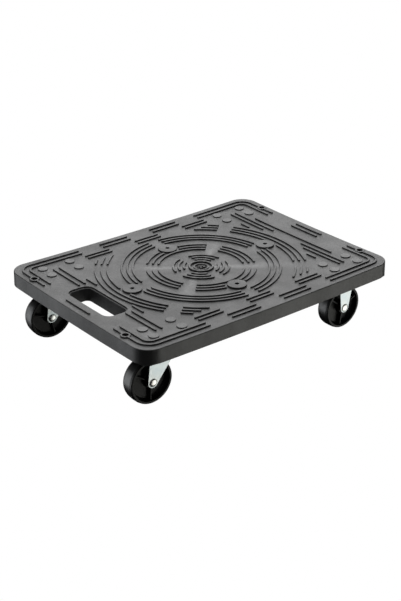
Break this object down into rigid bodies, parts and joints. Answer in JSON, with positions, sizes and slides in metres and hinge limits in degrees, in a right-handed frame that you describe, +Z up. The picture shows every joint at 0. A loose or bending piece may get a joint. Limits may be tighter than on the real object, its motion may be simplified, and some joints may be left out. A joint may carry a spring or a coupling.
{
  "type": "furniture dolly",
  "caption": "Low rectangular plastic dolly with a ribbed anti-slip deck, a hand hole at one end, swivel casters at that end and fixed casters at the far end.",
  "frame": {"origin": "on the floor, under the middle of the deck", "axes": "+X along the long side, from the hand-hole end to the far end; +Y to the left across the deck; +Z up"},
  "size_m": [0.45, 0.33, 0.1033],
  "materials": {
    "deck_plastic": "moulded black polypropylene, finely grained, half matt",
    "wheel_plastic": "moulded black plastic, half gloss",
    "zinc_sheet": "pressed steel sheet, bright bluish zinc plating",
    "rivet_steel": "bright plated rivet",
    "screw_steel": "zinc-plated screw",
    "bearing_steel": "polished bearing steel"
  },
  "bodies": {
    "chassis": {"deck": "deck_plastic", "swivel_left_top_plate": "zinc_sheet", "swivel_left_kingpin": "rivet_steel", "swivel_left_race_cup": "zinc_sheet", "swivel_left_screw_1": "screw_steel", "swivel_left_screw_2": "screw_steel", "swivel_left_screw_3": "screw_steel", "swivel_left_screw_4": "screw_steel", "fixed_left_bracket": "zinc_sheet", "fixed_left_axle": "rivet_steel", "fixed_left_bush": "bearing_steel", "fixed_left_screw_1": "screw_steel", "fixed_left_screw_2": "screw_steel", "fixed_left_screw_3": "screw_steel", "fixed_left_screw_4": "screw_steel", "swivel_right_top_plate": "zinc_sheet", "swivel_right_kingpin": "rivet_steel", "swivel_right_race_cup": "zinc_sheet", "swivel_right_screw_1": "screw_steel", "swivel_right_screw_2": "screw_steel", "swivel_right_screw_3": "screw_steel", "swivel_right_screw_4": "screw_steel", "fixed_right_bracket": "zinc_sheet", "fixed_right_axle": "rivet_steel", "fixed_right_bush": "bearing_steel", "fixed_right_screw_1": "screw_steel", "fixed_right_screw_2": "screw_steel", "fixed_right_screw_3": "screw_steel", "fixed_right_screw_4": "screw_steel"},
    "swivel_fork_left": {"swivel_left_fork": "zinc_sheet", "swivel_left_upper_balls": "bearing_steel", "swivel_left_lower_balls": "bearing_steel", "swivel_left_axle": "rivet_steel", "swivel_left_bush": "bearing_steel"},
    "swivel_wheel_left": {"swivel_left_wheel": "wheel_plastic"},
    "fixed_wheel_left": {"fixed_left_wheel": "wheel_plastic"},
    "swivel_fork_right": {"swivel_right_fork": "zinc_sheet", "swivel_right_upper_balls": "bearing_steel", "swivel_right_lower_balls": "bearing_steel", "swivel_right_axle": "rivet_steel", "swivel_right_bush": "bearing_steel"},
    "swivel_wheel_right": {"swivel_right_wheel": "wheel_plastic"},
    "fixed_wheel_right": {"fixed_right_wheel": "wheel_plastic"}
  },
  "joints": [
    {"name": "swivel_turn_left", "type": "hinge", "parent": "chassis", "child": "swivel_fork_left", "pos_m": [-0.162, 0.1195, 0.074], "axis": [0, 0, 1], "continuous": true},
    {"name": "swivel_wheel_spin_left", "type": "hinge", "parent": "swivel_fork_left", "child": "swivel_wheel_left", "pos_m": [-0.18627, 0.12205, 0.033], "axis": [0.1045, 0.9945, 0], "continuous": true},
    {"name": "swivel_turn_right", "type": "hinge", "parent": "chassis", "child": "swivel_fork_right", "pos_m": [-0.162, -0.1195, 0.074], "axis": [0, 0, 1], "continuous": true},
    {"name": "swivel_wheel_spin_right", "type": "hinge", "parent": "swivel_fork_right", "child": "swivel_wheel_right", "pos_m": [-0.18637, -0.11822, 0.033], "axis": [0.0523, 0.9986, 0], "continuous": true},
    {"name": "fixed_wheel_spin_left", "type": "hinge", "parent": "chassis", "child": "fixed_wheel_left", "pos_m": [0.1631, 0.1195, 0.033], "axis": [0, 1, 0], "continuous": true},
    {"name": "fixed_wheel_spin_right", "type": "hinge", "parent": "chassis", "child": "fixed_wheel_right", "pos_m": [0.1631, -0.1195, 0.033], "axis": [0, 1, 0], "continuous": true}
  ]
}
